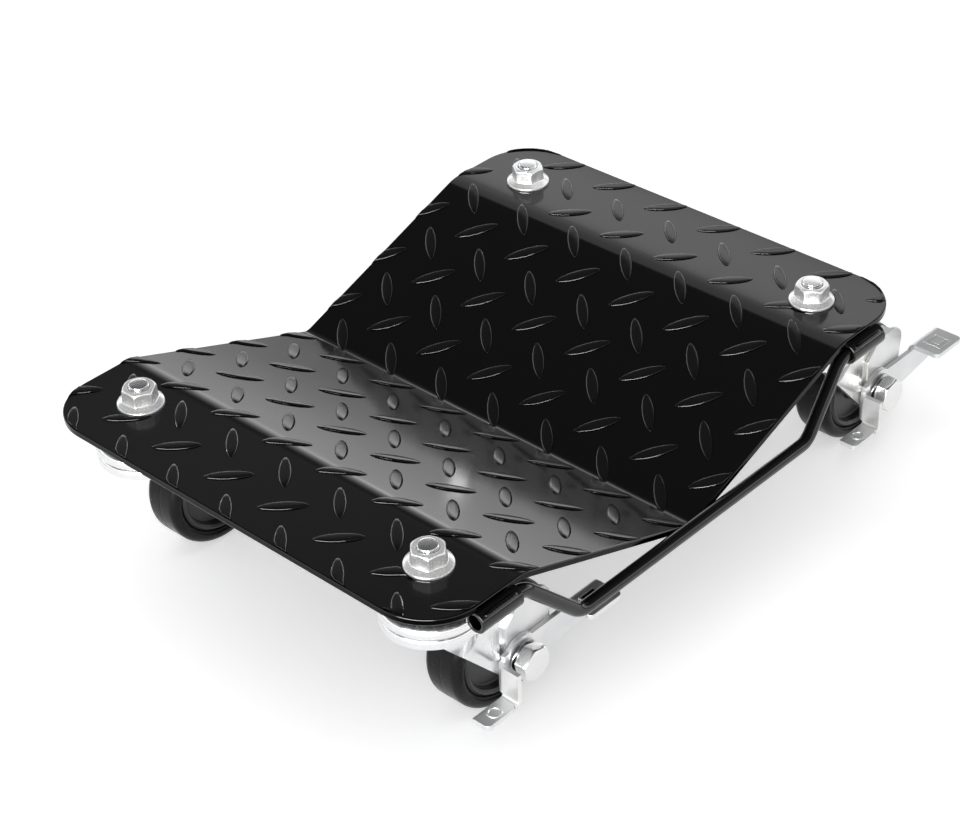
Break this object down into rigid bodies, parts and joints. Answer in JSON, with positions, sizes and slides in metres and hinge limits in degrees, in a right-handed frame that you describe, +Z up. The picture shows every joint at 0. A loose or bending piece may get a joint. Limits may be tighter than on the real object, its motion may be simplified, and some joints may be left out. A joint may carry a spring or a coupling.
{
  "type": "vehicle positioning dolly",
  "caption": "Low swivel-caster dolly whose bent tread plate cradles a car tyre, with a swing handle and side foot brakes.",
  "frame": {"origin": "on the floor, straight below the middle of the deck plate", "axes": "+X across the valley towards the flange that is on the right when seen from the handle, +Y along the valley away from the handle, +Z up"},
  "size_m": [0.4666, 0.3134, 0.126],
  "materials": {
    "black_gloss_paint": "gloss",
    "bright_zinc": "bright zinc plate",
    "dull_zinc": "satin zinc plate",
    "bearing_steel": "ground",
    "black_polymer": "satin",
    "black_rubber": "semi-gloss"
  },
  "bodies": {
    "frame": {"deck_plate": "black_gloss_paint", "flange_nuts": "bright_zinc", "handle_sleeves": "black_gloss_paint", "kingpin_left_brake": "bright_zinc", "top_race_left_brake": "bright_zinc", "lower_race_left_brake": "bright_zinc", "kingpin_right_brake": "bright_zinc", "top_race_right_brake": "bright_zinc", "lower_race_right_brake": "bright_zinc", "kingpin_left_plain": "bright_zinc", "top_race_left_plain": "bright_zinc", "lower_race_left_plain": "bright_zinc", "kingpin_right_plain": "bright_zinc", "top_race_right_plain": "bright_zinc", "lower_race_right_plain": "bright_zinc"},
    "swivel_left_brake": {"fork_left_brake": "bright_zinc", "swivel_balls_left_brake": "bearing_steel", "hub_sleeve_left_brake": "bright_zinc", "axle_bolt_left_brake": "bright_zinc", "axle_nut_left_brake": "bright_zinc", "brake_cam_left_brake": "dull_zinc", "brake_spring_left_brake": "bearing_steel"},
    "wheel_left_brake": {"wheel_core_left_brake": "black_polymer", "tyre_left_brake": "black_rubber"},
    "lever_left_brake": {"brake_lever_left_brake": "dull_zinc"},
    "swivel_right_brake": {"fork_right_brake": "bright_zinc", "swivel_balls_right_brake": "bearing_steel", "hub_sleeve_right_brake": "bright_zinc", "axle_bolt_right_brake": "bright_zinc", "axle_nut_right_brake": "bright_zinc", "brake_cam_right_brake": "dull_zinc", "brake_spring_right_brake": "bearing_steel"},
    "wheel_right_brake": {"wheel_core_right_brake": "black_polymer", "tyre_right_brake": "black_rubber"},
    "lever_right_brake": {"brake_lever_right_brake": "dull_zinc"},
    "swivel_left_plain": {"fork_left_plain": "bright_zinc", "swivel_balls_left_plain": "bearing_steel", "hub_sleeve_left_plain": "bright_zinc", "axle_bolt_left_plain": "bright_zinc", "axle_nut_left_plain": "bright_zinc"},
    "wheel_left_plain": {"wheel_core_left_plain": "black_polymer", "tyre_left_plain": "black_rubber"},
    "swivel_right_plain": {"fork_right_plain": "bright_zinc", "swivel_balls_right_plain": "bearing_steel", "hub_sleeve_right_plain": "bright_zinc", "axle_bolt_right_plain": "bright_zinc", "axle_nut_right_plain": "bright_zinc"},
    "wheel_right_plain": {"wheel_core_right_plain": "black_polymer", "tyre_right_plain": "black_rubber"},
    "handle": {"carry_handle": "black_gloss_paint"}
  },
  "joints": [
    {"name": "swivel_left_brake", "type": "hinge", "parent": "frame", "child": "swivel_left_brake", "pos_m": [-0.1624, -0.1115, 0.09], "axis": [0, 0, 1], "continuous": true},
    {"name": "wheel_left_brake", "type": "hinge", "parent": "swivel_left_brake", "child": "wheel_left_brake", "pos_m": [-0.1214, -0.1115, 0.038], "axis": [0, 1, 0], "continuous": true},
    {"name": "brake_left_brake", "type": "hinge", "parent": "swivel_left_brake", "child": "lever_left_brake", "pos_m": [-0.1214, -0.1115, 0.038], "axis": [0, 1, 0], "range_deg": [0, 25]},
    {"name": "swivel_right_brake", "type": "hinge", "parent": "frame", "child": "swivel_right_brake", "pos_m": [0.1624, -0.1115, 0.09], "axis": [0, 0, 1], "continuous": true},
    {"name": "wheel_right_brake", "type": "hinge", "parent": "swivel_right_brake", "child": "wheel_right_brake", "pos_m": [0.2034, -0.1115, 0.038], "axis": [0, 1, 0], "continuous": true},
    {"name": "brake_right_brake", "type": "hinge", "parent": "swivel_right_brake", "child": "lever_right_brake", "pos_m": [0.2034, -0.1115, 0.038], "axis": [0, 1, 0], "range_deg": [0, 25]},
    {"name": "swivel_left_plain", "type": "hinge", "parent": "frame", "child": "swivel_left_plain", "pos_m": [-0.1624, 0.1115, 0.09], "axis": [0, 0, 1], "continuous": true},
    {"name": "wheel_left_plain", "type": "hinge", "parent": "swivel_left_plain", "child": "wheel_left_plain", "pos_m": [-0.1214, 0.1115, 0.038], "axis": [0, 1, 0], "continuous": true},
    {"name": "swivel_right_plain", "type": "hinge", "parent": "frame", "child": "swivel_right_plain", "pos_m": [0.1624, 0.1115, 0.09], "axis": [0, 0, 1], "continuous": true},
    {"name": "wheel_right_plain", "type": "hinge", "parent": "swivel_right_plain", "child": "wheel_right_plain", "pos_m": [0.2034, 0.1115, 0.038], "axis": [0, 1, 0], "continuous": true},
    {"name": "handle_swing", "type": "hinge", "parent": "frame", "child": "handle", "pos_m": [0, -0.1515, 0.1015], "axis": [-1, 0, 0], "range_deg": [0, 105]}
  ]
}
